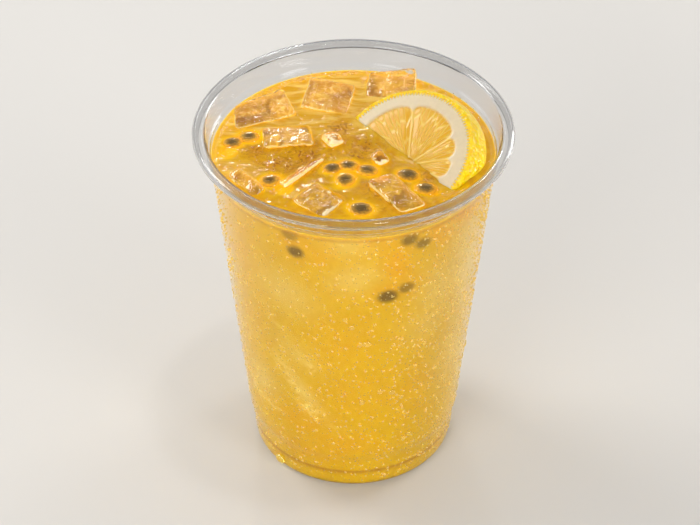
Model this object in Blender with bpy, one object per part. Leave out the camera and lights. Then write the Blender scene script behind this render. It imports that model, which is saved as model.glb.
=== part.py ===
"""Iced lemonade with passion fruit seeds and half a lemon slice, in a clear disposable cup.

Metres, +Z up. The origin is the centre of the cup's base, on the surface that it stands on.
+X is to the right and +Y away from whoever looks at the lemon slice from the front.
"""
import math
import random

import bmesh
import bpy
from mathutils import Euler, Matrix, Vector

MM = 0.001

# The cup: a thin clear sheet, formed with a pushed-up base and a rolled lip
CUP_HEIGHT = 120.0 * MM
LIP_RADIUS = 49.0 * MM
SHEET = 0.5 * MM
CUP_SIDES = 60
FOOT_OUTER = 31.4 * MM
FOOT_INNER = 28.6 * MM
FOOT_ROUND = 0.5 * MM
FLOOR_UNDERSIDE = 5.4 * MM
FLOOR_CROWN = 0.5 * MM
FLOOR_EDGE = 26.8 * MM

# Outside of the wall, as (height, radius): heel, skirt, shoulder, straight wall, step ring, band
WALL_STATIONS = [
    (0.5 * MM, 31.7 * MM),
    (2.0 * MM, 32.4 * MM),
    (6.5 * MM, 32.7 * MM),
    (11.5 * MM, 33.25 * MM),
    (14.2 * MM, 34.0 * MM),
    (20.0 * MM, 34.64 * MM),
    (112.0 * MM, 43.9 * MM),
    (113.2 * MM, 44.7 * MM),
    (117.2 * MM, 45.1 * MM),
]

# The rolled lip: the sheet goes over the top of an oval, down its outside and under it
ROLL_HALF_WIDTH = 2.0 * MM
ROLL_HALF_HEIGHT = 1.45 * MM
ROLL_START = math.radians(180)
ROLL_END = math.radians(-90)
ROLL_STEPS = 9

# The drink and the gap that it keeps to whatever it touches
GAP = 0.3 * MM
SLIVER = 0.02 * MM
LEVEL = 110.4 * MM
MENISCUS = 0.7 * MM
RIPPLE = 0.25 * MM
TOP_RINGS = [41.6 * MM, 37.0 * MM, 30.0 * MM, 22.0 * MM, 14.0 * MM, 7.0 * MM]

# Passion fruit seeds in their sacs at the surface: (x, y, turn in degrees, sac's half length)
SAC_FLATNESS = 0.42
SAC_WIDTH = 0.86
SAC_SINK = 0.6 * MM
SEED_HALF = Vector((2.1 * MM, 1.5 * MM, 0.9 * MM))
SEED_RISE = 0.45 * MM
SEEDS = [
    (-37.2 * MM, 4.6 * MM, 10, 3.4 * MM),
    (-32.2 * MM, 7.6 * MM, 5, 3.8 * MM),
    (-25.1 * MM, -14.9 * MM, 20, 3.9 * MM),
    (-6.4 * MM, -8.6 * MM, 30, 3.2 * MM),
    (-1.6 * MM, -7.2 * MM, -10, 3.6 * MM),
    (4.2 * MM, -9.6 * MM, -20, 3.7 * MM),
    (-2.5 * MM, -14.4 * MM, 75, 3.9 * MM),
    (2.2 * MM, -28.7 * MM, -15, 3.9 * MM),
    (16.4 * MM, -11.7 * MM, -25, 3.6 * MM),
    (21.6 * MM, -18.7 * MM, -20, 3.6 * MM),
]

# Ice that stands out of the drink. Each block has its middle (x, y), the height of its top
# over the drink, its size, and its turn and its two tilts in degrees.
ICE_EDGE = 1.5 * MM
ICE_UNEVEN = 0.07
ICE_WALL_CLEARANCE = 0.4 * MM
ICE_BLOCKS = {
    "ice_back_left": ((-29.0, 21.8), 1.7, (20.0, 14.0, 18.0), 22, 3, -3),
    "ice_back": ((-8.2, 29.2), 1.9, (14.6, 15.6, 17.0), -12, 6, 5),
    "ice_back_right": ((13.0, 35.0), 2.8, (16.0, 12.0, 15.0), -8, 14, -9),
    "ice_left": ((-20.4, 6.8), 1.3, (15.6, 10.8, 15.0), 7, -3, 2),
    "ice_tip_left": ((-7.2, 5.8), 2.2, (5.6, 6.4, 10.0), 30, 16, 14),
    "ice_front_left": ((-31.4, -15.6), 1.5, (13.0, 5.2, 13.0), -50, 12, 4),
    "ice_plate": ((-14.6, -12.2), 1.6, (17.5, 2.8, 13.0), 51, -16, 2),
    "ice_front": ((-10.8, -25.0), 1.2, (12.0, 13.0, 15.0), 52, 4, 5),
    "ice_front_right": ((12.5, -21.8), 1.3, (18.6, 9.2, 15.0), -57, -3, 3),
    "ice_tip_right": ((8.2, -3.6), 2.3, (4.6, 5.6, 10.0), 35, 12, -14),
}

# Half a lemon slice. Its face is a half disc whose middle lies just under the surface.
LEMON_MIDDLE = Vector((14.68 * MM, -0.8 * MM, 109.6 * MM))
LEMON_RADIUS = 23.45 * MM
LEMON_UNDER_RADIUS = 25.2 * MM
LEMON_THICKNESS = 7.4 * MM
LEMON_BULGE = 0.5 * MM
LEMON_TURN = math.radians(-52.4)
LEMON_DIP = math.radians(2.9)
LEMON_LEAN = math.radians(31.0)
LEMON_SIDES = 36
LEMON_CORE = Vector((4.0 * MM, -0.9 * MM))
LEMON_RINGS = [4.5 * MM, 9.0 * MM, 13.0 * MM, 16.0 * MM, 17.4 * MM, 18.2 * MM, 19.2 * MM,
               21.6 * MM, 22.6 * MM]
PITH_RADIUS = 18.2 * MM
ZEST_RADIUS = 22.3 * MM
PULP_HOLLOW = 0.35 * MM
PULP_CROWN = 0.25 * MM
ZEST_ROUND = 0.25 * MM
MEMBRANES = [math.radians(a) for a in (180, 133, 73, 44, 14)]
MEMBRANE_WIDTH = 0.9 * MM


def clear_scene():
    for old in list(bpy.data.objects):
        bpy.data.objects.remove(old, do_unlink=True)


def material(name, colour, roughness, transmission=0.0, ior=1.45):
    """A Principled material; part.py's colours are linear red, green and blue."""
    mat = bpy.data.materials.new(name)
    mat.use_nodes = True
    shader = mat.node_tree.nodes["Principled BSDF"]
    shader.inputs["Base Color"].default_value = (*colour, 1.0)
    shader.inputs["Roughness"].default_value = roughness
    shader.inputs["Metallic"].default_value = 0.0
    shader.inputs["Transmission Weight"].default_value = transmission
    shader.inputs["IOR"].default_value = ior
    mat.diffuse_color = (*colour, 1.0)
    return mat


def object_from(bm, name, mat=None):
    """Close a bmesh into a named object with its faces pointing out."""
    bmesh.ops.recalc_face_normals(bm, faces=bm.faces[:])
    mesh = bpy.data.meshes.new(name)
    bm.to_mesh(mesh)
    bm.free()
    mesh.shade_smooth()
    mesh.set_sharp_from_angle(angle=math.radians(35))
    if mat:
        mesh.materials.append(mat)
    obj = bpy.data.objects.new(name, mesh)
    bpy.context.scene.collection.objects.link(obj)
    return obj


def turned(profile, sides):
    """A bmesh turned about Z from an open profile of (radius, height) that ends on the axis."""
    bm = bmesh.new()
    verts = [bm.verts.new((r, 0.0, z)) for r, z in profile]
    edges = [bm.edges.new(pair) for pair in zip(verts, verts[1:])]
    bmesh.ops.spin(bm, geom=verts + edges, cent=(0, 0, 0), axis=(0, 0, 1), dvec=(0, 0, 0),
                   angle=math.tau, steps=sides, use_merge=True, use_duplicate=False)
    bmesh.ops.remove_doubles(bm, verts=bm.verts[:], dist=0.001 * MM)
    return bm


def wall_outside(z):
    """Radius of the outside of the wall at a height."""
    low = WALL_STATIONS[0]
    for high in WALL_STATIONS[1:]:
        if z <= high[0]:
            break
        low = high
    share = (z - low[0]) / (high[0] - low[0])
    return low[1] + share * (high[1] - low[1])


def wall_inside(z):
    return wall_outside(z) - SHEET


def oval(middle, half_width, half_height, start, end, steps):
    """Points along a stretch of an oval, as (radius, height)."""
    points = []
    for i in range(steps + 1):
        a = start + (end - start) * i / steps
        points.append((middle[0] + half_width * math.cos(a), middle[1] + half_height * math.sin(a)))
    return points


def floor_top(inset):
    """Upper face of the cup's floor and foot trough, from the axis out, raised by an inset."""
    return [
        (0.0, FLOOR_UNDERSIDE + FLOOR_CROWN + SHEET + inset),
        (FLOOR_EDGE * 0.55, FLOOR_UNDERSIDE + FLOOR_CROWN * 0.7 + SHEET + inset),
        (FLOOR_EDGE + inset * 0.4, FLOOR_UNDERSIDE + SHEET + inset),
        (FOOT_INNER - 0.4 * MM + inset, FLOOR_UNDERSIDE * 0.72 + inset),
        (FOOT_INNER + SHEET + inset, SHEET + inset),
        (FOOT_OUTER - SHEET - inset * 0.6, SHEET + inset),
    ]


def make_cup(mat):
    underside = [
        (0.0, FLOOR_UNDERSIDE + FLOOR_CROWN),
        (FLOOR_EDGE * 0.55, FLOOR_UNDERSIDE + FLOOR_CROWN * 0.7),
        (FLOOR_EDGE - SHEET, FLOOR_UNDERSIDE),
        (FOOT_INNER - 2.2 * SHEET, FLOOR_UNDERSIDE * 0.72 - SHEET),
        (FOOT_INNER, 0.0),
        (FOOT_OUTER - FOOT_ROUND, 0.0),
    ]
    outside = [(r, z) for z, r in WALL_STATIONS]
    roll_middle = (LIP_RADIUS - ROLL_HALF_WIDTH, CUP_HEIGHT - ROLL_HALF_HEIGHT)
    roll_under = oval(roll_middle, ROLL_HALF_WIDTH, ROLL_HALF_HEIGHT, ROLL_END, ROLL_START, ROLL_STEPS)
    roll_over = oval(roll_middle, ROLL_HALF_WIDTH - SHEET, ROLL_HALF_HEIGHT - SHEET,
                     ROLL_START, ROLL_END, ROLL_STEPS)
    inside = [(wall_inside(z), z) for z, r in reversed(WALL_STATIONS[1:])]
    # The sheet's outside runs up the wall and round the inside of the roll; its inside runs
    # over the outside of the roll and down to the floor.
    profile = underside + outside + roll_over + roll_under + inside + floor_top(0.0)[::-1]
    return object_from(turned(profile, CUP_SIDES), "cup", mat)


def make_drink_body():
    """The drink as it fills the cup, before seeds are added and the ice and lemon cut out."""
    side = [(wall_inside(z) - GAP, z) for z, r in WALL_STATIONS[1:6]]
    brim = LEVEL + MENISCUS
    side.append((wall_inside(brim) - GAP, brim))
    top = [(r, LEVEL) for r in TOP_RINGS] + [(0.0, LEVEL)]
    bm = turned(floor_top(GAP) + side + top, CUP_SIDES)
    for v in bm.verts:
        if abs(v.co.z - LEVEL) < 0.01 * MM:
            wave = math.sin(v.co.x / (5.5 * MM) + 0.7) * math.cos(v.co.y / (7.0 * MM) - 0.4)
            v.co.z += RIPPLE * wave
    bmesh.ops.triangulate(bm, faces=bm.faces[:])
    return object_from(bm, "drink")


def ellipsoid(name, middle, half, turn, sides, rings):
    bm = bmesh.new()
    bmesh.ops.create_uvsphere(bm, u_segments=sides, v_segments=rings, radius=1.0)
    place = Matrix.Translation(middle) @ Matrix.Rotation(turn, 4, "Z")
    bm.transform(place @ Matrix.Diagonal((*half, 1.0)))
    return object_from(bm, name)


def make_seeds():
    """Each seed and its sac, as closed pieces to be fused to the drink."""
    pieces = []
    for i, (x, y, degrees, half) in enumerate(SEEDS):
        turn = math.radians(degrees)
        sac_half = Vector((half, half * SAC_WIDTH, half * SAC_FLATNESS))
        sac_middle = Vector((x, y, LEVEL - SAC_SINK))
        pieces.append(ellipsoid(f"sac_{i}", sac_middle, sac_half, turn, 10, 6))
        seed_middle = Vector((x, y, LEVEL + SEED_RISE))
        pieces.append(ellipsoid(f"seed_{i}", seed_middle, SEED_HALF, turn, 6, 4))
    return pieces


def ice_mesh(name, grow, melted):
    """One uneven block of ice. A grown copy, which isn't melted back, is what it cuts."""
    (x, y), rise, size, turn, tilt_x, tilt_y = ICE_BLOCKS[name]
    rng = random.Random(name)
    bm = bmesh.new()
    bmesh.ops.create_cube(bm, size=1.0)
    for v in bm.verts:
        for axis in range(3):
            v.co[axis] *= size[axis] * MM * (1.0 + rng.uniform(-ICE_UNEVEN, ICE_UNEVEN))
    bmesh.ops.bevel(bm, geom=bm.edges[:], offset=ICE_EDGE * min(1.0, min(size) / 5.0), segments=2,
                    profile=0.55, affect="EDGES")
    bmesh.ops.triangulate(bm, faces=bm.faces[:])
    bm.normal_update()
    if grow:
        for v in bm.verts:
            v.co += v.normal * grow * v.calc_shell_factor()
    middle_z = LEVEL + (rise - 0.5 * size[2]) * MM
    turn_and_tilt = Euler((math.radians(tilt_x), math.radians(tilt_y), math.radians(turn)), "XYZ")
    bm.transform(Matrix.Translation((x * MM, y * MM, middle_z)) @ turn_and_tilt.to_matrix().to_4x4())
    if melted:
        for v in bm.verts:
            radius = math.hypot(v.co.x, v.co.y)
            limit = wall_inside(v.co.z) - ICE_WALL_CLEARANCE
            if radius > limit:
                v.co.x *= limit / radius
                v.co.y *= limit / radius
    return bm


def lemon_face_height(x, y):
    """Relief of the cut face: pulp a little below the pith, crowned between its membranes."""
    radius = math.hypot(x, y)
    if radius >= ZEST_RADIUS:
        share = (radius - ZEST_RADIUS) / (LEMON_RADIUS - ZEST_RADIUS)
        return -ZEST_ROUND * share ** 2
    if radius >= PITH_RADIUS:
        return 0.0
    from_core = Vector((x, y)) - LEMON_CORE
    nearest = min(abs(from_core.length * math.sin(math.atan2(from_core.y, from_core.x) - a))
                  for a in MEMBRANES)
    inside = min(1.0, nearest / MEMBRANE_WIDTH)
    edge = min(1.0, (PITH_RADIUS - radius) / (1.5 * MM))
    return (PULP_CROWN - PULP_HOLLOW) * inside * edge - 0.1 * MM * edge


def lemon_mesh(grow):
    """The half slice, swept through half a turn; the two ends of the sweep are its cut side."""
    bm = bmesh.new()
    side_steps = 4
    side = []
    for i in range(side_steps + 1):
        share = i / side_steps
        radius = LEMON_RADIUS + (LEMON_UNDER_RADIUS - LEMON_RADIUS) * share
        radius += LEMON_BULGE * math.sin(math.pi * share)
        side.append((radius, -ZEST_ROUND - (LEMON_THICKNESS - 2 * ZEST_ROUND) * share))
    under = [(LEMON_UNDER_RADIUS - 0.6 * MM, -LEMON_THICKNESS), (14.0 * MM, -LEMON_THICKNESS)]
    top_pole = bm.verts.new((0.0, 0.0, 0.0))
    under_pole = bm.verts.new((0.0, 0.0, -LEMON_THICKNESS))
    columns = []
    for i in range(LEMON_SIDES + 1):
        angle = math.pi * i / LEMON_SIDES
        ca, sa = math.cos(angle), math.sin(angle)
        column = []
        for r in LEMON_RINGS:
            column.append(bm.verts.new((r * ca, r * sa, lemon_face_height(r * ca, r * sa))))
        for r, z in side + under:
            column.append(bm.verts.new((r * ca, r * sa, z)))
        columns.append(column)
    for left, right in zip(columns, columns[1:]):
        bm.faces.new((top_pole, left[0], right[0]))
        bm.faces.new((under_pole, right[-1], left[-1]))
        for k in range(len(left) - 1):
            bm.faces.new((left[k], left[k + 1], right[k + 1], right[k]))
    for column in (columns[0], columns[-1]):
        bm.faces.new((top_pole, *column, under_pole))
    bmesh.ops.triangulate(bm, faces=bm.faces[:])
    bmesh.ops.recalc_face_normals(bm, faces=bm.faces[:])
    bm.normal_update()
    if grow:
        for v in bm.verts:
            v.co += v.normal * grow * min(1.6, v.calc_shell_factor())
    turn = Matrix.Rotation(LEMON_TURN, 4, "Z")
    dip = Matrix.Rotation(LEMON_DIP, 4, "Y")
    lean = Matrix.Rotation(LEMON_LEAN, 4, "X")
    bm.transform(Matrix.Translation(LEMON_MIDDLE) @ turn @ dip @ lean)
    return bm


def merge_slivers(obj):
    """Merge the points that a cut leaves almost on top of each other."""
    bm = bmesh.new()
    bm.from_mesh(obj.data)
    bmesh.ops.remove_doubles(bm, verts=bm.verts[:], dist=SLIVER)
    bmesh.ops.dissolve_degenerate(bm, edges=bm.edges[:], dist=SLIVER)
    bm.to_mesh(obj.data)
    bm.free()


def combine(target, pieces, operation):
    """Fuse a collection of pieces to the target, or cut them out of it, and remove them."""
    group = bpy.data.collections.new(operation.lower())
    bpy.context.scene.collection.children.link(group)
    for piece in pieces:
        bpy.context.scene.collection.objects.unlink(piece)
        group.objects.link(piece)
    boolean = target.modifiers.new(operation.title(), "BOOLEAN")
    boolean.operation = operation
    boolean.operand_type = "COLLECTION"
    boolean.collection = group
    boolean.solver = "EXACT"
    bpy.context.view_layer.objects.active = target
    bpy.context.view_layer.update()
    with bpy.context.temp_override(object=target, active_object=target, selected_objects=[target]):
        bpy.ops.object.modifier_apply(modifier=boolean.name)
    for piece in pieces:
        bpy.data.objects.remove(piece, do_unlink=True)
    bpy.data.collections.remove(group)
    merge_slivers(target)


def make_drink(mat):
    drink = make_drink_body()
    combine(drink, make_seeds(), "UNION")
    cutters = [object_from(ice_mesh(name, GAP, melted=False), f"cut_{name}") for name in ICE_BLOCKS]
    cutters.append(object_from(lemon_mesh(GAP), "cut_lemon"))
    combine(drink, cutters, "DIFFERENCE")
    drink.data.materials.clear()
    drink.data.materials.append(mat)
    return drink


def main():
    clear_scene()
    make_cup(material("clear_pet", (0.93, 0.94, 0.95), 0.06, transmission=1.0, ior=1.575))
    make_drink(material("lemonade", (0.78, 0.45, 0.05), 0.15))
    ice = material("ice", (0.95, 0.93, 0.85), 0.08, transmission=0.9, ior=1.31)
    for name in ICE_BLOCKS:
        object_from(ice_mesh(name, 0.0, melted=True), name, ice)
    object_from(lemon_mesh(0.0), "lemon_slice", material("lemon", (0.90, 0.62, 0.05), 0.35))


main()
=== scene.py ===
"""The looks of an iced lemonade in a clear disposable cup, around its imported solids.

Metres, +Z up, with the origin at the centre of the cup's base. Lengths are written in
millimetres times MM. Angles round the cup are degrees from the front, positive to the right.
"""
import math
import random

import bmesh
import bpy
import numpy as np
from mathutils import Matrix, Vector
from mathutils.bvhtree import BVHTree


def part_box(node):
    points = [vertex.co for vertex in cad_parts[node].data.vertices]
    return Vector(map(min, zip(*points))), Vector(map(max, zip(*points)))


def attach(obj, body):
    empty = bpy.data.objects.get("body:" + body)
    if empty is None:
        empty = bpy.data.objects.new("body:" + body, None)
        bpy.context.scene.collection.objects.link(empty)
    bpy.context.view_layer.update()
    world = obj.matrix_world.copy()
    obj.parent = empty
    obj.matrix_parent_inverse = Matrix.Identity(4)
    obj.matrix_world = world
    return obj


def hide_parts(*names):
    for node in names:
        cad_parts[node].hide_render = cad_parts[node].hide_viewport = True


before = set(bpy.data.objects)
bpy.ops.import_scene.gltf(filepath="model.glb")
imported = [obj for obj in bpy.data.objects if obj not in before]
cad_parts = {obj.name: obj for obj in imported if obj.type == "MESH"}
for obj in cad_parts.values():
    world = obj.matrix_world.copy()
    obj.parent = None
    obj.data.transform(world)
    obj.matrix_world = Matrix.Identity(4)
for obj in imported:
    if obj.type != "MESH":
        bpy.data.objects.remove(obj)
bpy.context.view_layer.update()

MM = 0.001
WELD = 0.001 * MM
ICE_NODES = [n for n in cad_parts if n.startswith("ice_")]

# Camera, fitted to the rim, the base and the wall's outline in the photograph
CAMERA_PLACE = (-1.03 * MM, -591.87 * MM, 543.32 * MM)
CAMERA_ELEVATION = 38.83
CAMERA_LENS = 123.29

# The cup, as its solid has it
CUP_HEIGHT = 120.0 * MM
LIP_RADIUS = 49.0 * MM
SHEET = 0.5 * MM
FOOT_OUTER = 31.4 * MM
FOOT_INNER = 28.6 * MM
FLOOR_UNDERSIDE = 5.4 * MM
FLOOR_CROWN = 0.5 * MM
FLOOR_EDGE = 26.8 * MM
WALL_STATIONS = [
    (0.5, 31.7), (1.1, 32.1), (2.0, 32.4), (6.5, 32.7), (11.5, 33.25), (13.2, 33.6), (14.2, 34.0),
    (15.6, 34.25), (20.0, 34.64), (21.0, 34.8), (21.6, 34.8), (112.0, 43.9), (112.4, 44.1),
    (112.9, 44.6), (113.3, 44.72), (117.2, 45.1),
]
ROLL_HALF_WIDTH = 2.0 * MM
ROLL_HALF_HEIGHT = 1.45 * MM
CUP_SIDES = 192

# The drink
LEVEL = 110.4 * MM
INTO_WALL = 0.2 * MM
MENISCUS = 0.5 * MM
MENISCUS_REACH = 1.1 * MM
DRINK_SIDES = 300
WALL_ROW = 1.0 * MM
TOP_ROW = 0.55 * MM
POCKET_DEPTH = 2.7 * MM
FACET_COUNT = 70
ICE_REACH = 3.0 * MM
CLIMB = 0.55 * MM

# Seeds in their sacs at the surface: x, y, turn in degrees, sac's half length, in millimetres
SEEDS = [
    (-37.2, 4.6, 10, 3.4), (-32.2, 7.6, 5, 3.8), (-25.1, -14.9, 20, 3.9), (-6.4, -8.6, 30, 3.2),
    (-1.6, -7.2, -10, 3.6), (4.2, -9.6, -20, 3.7), (-2.5, -14.4, 75, 3.9), (2.2, -28.7, -15, 3.9),
    (16.4, -11.7, -25, 3.6), (21.6, -18.7, -20, 3.6),
]

# Sacs that show no seed
PLAIN_SACS = [(-38.2, -0.2, 60, 3.0), (-20.5, -19.5, 40, 2.2), (8.6, -14.4, 10, 2.0)]

# Seeds sunk near the wall: angle, height, half length, strength
SUNK_SEEDS = [
    (-25.6, 109.0, 2.9, 0.45), (-23.6, 102.6, 2.9, 0.75), (22.4, 107.8, 3.0, 0.65),
    (28.7, 104.8, 2.8, 0.6), (14.5, 85.9, 3.4, 0.8), (22.7, 88.0, 2.8, 0.55), (31.9, 112.0, 2.8, 0.3),
]

# Soft stains on the side of the drink: angle, height, half width, half height, lean, strength
ORANGE_STAINS = [
    (-23.0, 105.0, 6.0, 7.0, 0, 0.75), (-14.0, 103.0, 5.0, 5.0, 0, 0.5), (18.0, 98.0, 4.0, 10.0, 10, 0.95),
    (20.0, 106.0, 8.0, 4.5, 0, 0.7), (15.5, 88.0, 5.0, 4.0, 0, 0.9), (23.0, 89.0, 4.5, 4.0, 0, 0.7),
    (48.0, 110.0, 11.0, 4.5, -25, 1.0), (36.0, 106.0, 7.0, 4.0, -25, 0.8),
    (-28.0, 28.0, 11.0, 7.0, 20, 0.7),
    (-9.0, 20.0, 16.0, 7.0, 0, 0.55), (0.0, 42.0, 14.0, 12.0, 0, 0.3), (-55.0, 95.0, 9.0, 14.0, 0, 0.35),
    (-25.0, 14.0, 14.0, 5.0, 0, 0.6), (-5.0, 64.0, 9.0, 12.0, 15, 0.35), (30.0, 40.0, 12.0, 12.0, 0, 0.3),
]
PALE_STAINS = [
    (-2.0, 108.0, 8.0, 5.5, 0, 0.5), (0.0, 94.0, 8.0, 6.0, 25, 0.55), (-30.0, 84.0, 10.0, 8.0, -30, 0.6),
    (-52.0, 38.0, 6.5, 8.0, -20, 0.6), (-25.0, 42.0, 3.2, 12.0, 33, 0.6),
    (-28.0, 58.0, 9.0, 6.0, -35, 0.35),
    (40.0, 82.0, 9.0, 12.0, 0, 0.55), (58.0, 84.0, 10.0, 20.0, 0, 0.75), (60.0, 50.0, 12.0, 20.0, 0, 0.6),
    (36.0, 70.0, 9.0, 9.0, 0, 0.45), (75.0, 30.0, 12.0, 18.0, 0, 0.5), (-75.0, 80.0, 10.0, 25.0, 0, 0.4),
    (120.0, 80.0, 20.0, 14.0, 20, 0.5), (170.0, 50.0, 16.0, 18.0, -20, 0.5),
    (-130.0, 60.0, 18.0, 16.0, 25, 0.5),
]

# Ice with rough faces whitened as frost and as a painted highlight: the side they face, how squarely, and
# how far over the level they start
FROST_AND_HIGHLIGHT_FACES = {
    "ice_tip_left": (20, 0.2, 0.4), "ice_tip_right": (10, 0.55, 0.5), "ice_plate": (40, 0.4, 0.6),
    "ice_front": (50, 0.3, 0.1), "ice_front_right": (50, 0.65, 0.5),
    "ice_back": (10, 0.8, 1.1), "ice_left": (10, 0.85, 0.9),
}

# Where shreds of fruit pulp show in the surface: x, y, reach
PULP_SPOTS = [(-14, -3, 8), (-22, -6, 6), (-30, 1, 4), (2, -4, 5), (10, -18, 7), (14, -25, 6), (4, 3, 5),
              (-4, 12, 4), (22, -12, 4)]

# Condensation scattered on the wall; sizes are the least, greatest and commonest half width
BEAD_COUNT = 7000
BEAD_SIZES = (0.16, 0.34, 0.2)
DROP_COUNT = 2300
DROP_SIZES = (0.28, 0.55, 0.32)

# Larger drops on the wall: angle, height, half width, stretch
LARGE_DROPS = [
    (6.0, 66.6, 1.45, 0.8), (2.9, 66.2, 0.9, 0.9), (-3.6, 77.2, 0.85, 1.1), (-0.6, 73.8, 0.8, 1.2),
    (-6.4, 85.6, 0.6, 1.0), (-2.3, 82.4, 0.7, 1.0), (-8.1, 69.1, 0.6, 1.3), (34.1, 61.0, 0.9, 1.2),
    (35.5, 59.1, 0.6, 1.0), (12.9, 44.4, 0.9, 1.2), (19.0, 43.3, 1.1, 1.0), (4.2, 40.5, 0.9, 1.4),
    (-16.2, 60.5, 0.7, 1.0), (27.3, 19.8, 0.8, 1.3), (9.3, 74.6, 0.7, 1.0), (30.5, 21.0, 0.6, 1.2),
    (88.0, 34.5, 1.3, 1.2), (-47.1, 2.6, 1.9, 0.85), (-19.2, 30.7, 0.9, 1.2), (24.0, 40.0, 0.8, 1.1),
    (26.0, 52.0, 0.7, 1.0), (-130.0, 70.0, 1.0, 1.3), (-118.0, 44.0, 0.9, 1.2), (160.0, 58.0, 1.1, 1.2),
    (130.0, 82.0, 0.9, 1.4), (-160.0, 30.0, 1.0, 1.1), (110.0, 50.0, 0.8, 1.0), (175.0, 90.0, 0.8, 1.3),
]

# Painted highlights on the edges of ice that leans on the wall, seen through it: laid out like the soft
# stains
PAINTED_ICE_HIGHLIGHTS = [
    (-36.0, 50.0, 2.6, 6.0, 34, 0.7), (-29.0, 42.0, 2.8, 6.0, 36, 0.85), (-22.5, 34.5, 2.6, 4.5, 38, 1.0),
    (-61.0, 29.5, 1.6, 4.5, 25, 0.8), (-48.0, 28.6, 5.0, 1.3, -8, 0.7), (-38.0, 70.0, 2.4, 7.0, 40, 0.3),
    (-26.0, 58.0, 2.2, 5.0, 40, 0.4), (-20.5, 54.0, 1.6, 1.8, 20, 0.95), (-12.0, 28.5, 6.5, 1.0, -4, 0.25),
    (5.0, 98.0, 1.6, 5.0, 55, 0.2),
    (140.0, 60.0, 1.0, 6.0, 30, 0.5), (-150.0, 45.0, 1.0, 6.0, -35, 0.5),
]

# Bubbles where the drink meets the wall, and strays on its surface
FROTH_COUNT = 260
FROTH_RING = 43.2 * MM
STRAY_COUNT = 150

# The lemon slice: where its solid is, and how its face is laid out
LEMON_MIDDLE = Vector((14.68 * MM, -0.8 * MM, 109.6 * MM))
LEMON_TURN = math.radians(-52.4)
LEMON_DIP = math.radians(2.9)
LEMON_LEAN = math.radians(31.0)
LEMON_RADIUS = 23.2 * MM
LEMON_UNDER_RADIUS = 25.0 * MM
LEMON_THICKNESS = 7.3 * MM
LEMON_BULGE = 0.5 * MM
LEMON_CORE = (4.0, -0.9)
MEMBRANES = [math.radians(a) for a in (196, 133, 73, 44, 14, -16)]
MEMBRANE_HALF = 0.16
PITH_RADIUS = 17.2
ZEST_RADIUS = 21.7
OIL_GLANDS = 131
TOOTH_DEPTH = 0.45

LAMPS_AIM = Vector((0, 0, 70 * MM))


def linear(code):
    """An sRGB hex colour as linear red, green, blue and alpha."""
    parts = [int(code[i:i + 2], 16) / 255 for i in (1, 3, 5)]
    return tuple(p / 12.92 if p <= 0.04045 else ((p + 0.055) / 1.055) ** 2.4 for p in parts) + (1.0,)


def add(mat, kind, inputs=None, **settings):
    """Add a node with its settings; an input is a value, or the socket linked to it."""
    new = mat.node_tree.nodes.new(kind)
    for name, value in settings.items():
        setattr(new, name, value)
    for name, value in (inputs or {}).items():
        if isinstance(value, bpy.types.NodeSocket):
            mat.node_tree.links.new(value, new.inputs[name])
        else:
            new.inputs[name].default_value = value
    return new


def material(name, **values):
    """A named Principled material with the values of its own sockets, and its shader."""
    mat = bpy.data.materials.new(name)
    mat.use_nodes = True
    shader = mat.node_tree.nodes["Principled BSDF"]
    for key, value in values.items():
        shader.inputs[key.replace("_", " ")].default_value = value
    return mat, shader


def feed(mat, shader, name, socket):
    """Link a socket to one of the shader's inputs."""
    mat.node_tree.links.new(socket, shader.inputs[name])


def let_lamps_through(mat, shader, colour):
    """Clear pieces let the lamps' direct light reach what is in them."""
    path = add(mat, "ShaderNodeLightPath")
    clear = add(mat, "ShaderNodeBsdfTransparent", {"Color": linear(colour)})
    mix = add(mat, "ShaderNodeMixShader", {0: path.outputs["Is Shadow Ray"], 1: shader.outputs[0],
                                           2: clear.outputs[0]})
    out = mat.node_tree.nodes["Material Output"]
    mat.node_tree.links.new(mix.outputs[0], out.inputs["Surface"])


def scale_for(millimetres):
    """Texture scale, per metre, that gives a pattern of about this spacing."""
    return 1.0 / (millimetres * MM)


def object_place(mat):
    """Each point's place on its own object."""
    return add(mat, "ShaderNodeTexCoord").outputs["Object"]


def field(mat, name):
    """A value from 0 to 1 that is painted on the mesh."""
    return add(mat, "ShaderNodeAttribute", attribute_name=name).outputs["Fac"]


def noise(mat, place, spacing, detail, distortion=0.0, roughness=0.5):
    """Noise with a pattern of about this spacing in millimetres."""
    return add(mat, "ShaderNodeTexNoise", {"Vector": place, "Scale": scale_for(spacing), "Detail": detail,
                                           "Distortion": distortion, "Roughness": roughness}).outputs["Fac"]


def span(mat, value, low, high, to_low=0.0, to_high=1.0):
    """Spread the values from low to high over another span, and cut off what is past it."""
    return add(mat, "ShaderNodeMapRange", {"Value": value, "From Min": low, "From Max": high,
                                           "To Min": to_low, "To Max": to_high}).outputs[0]


def maths(mat, operation, *values):
    """One sum on values or sockets."""
    return add(mat, "ShaderNodeMath", dict(enumerate(values)), operation=operation).outputs[0]


def blend(mat, share, first, second):
    """A colour between two, each a hex code or a socket; the share of the second is a socket."""
    ends = [linear(end) if isinstance(end, str) else end for end in (first, second)]
    return add(mat, "ShaderNodeMix", {"Factor": share, 6: ends[0], 7: ends[1]}, data_type="RGBA").outputs[2]


def emboss(mat, shader, height, strength, distance, dents=False):
    """Bump from a height; distance is in millimetres, and dents turns hills into hollows."""
    bump = add(mat, "ShaderNodeBump", {"Height": height, "Strength": strength, "Distance": distance * MM},
               invert=dents)
    feed(mat, shader, "Normal", bump.outputs[0])


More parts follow.
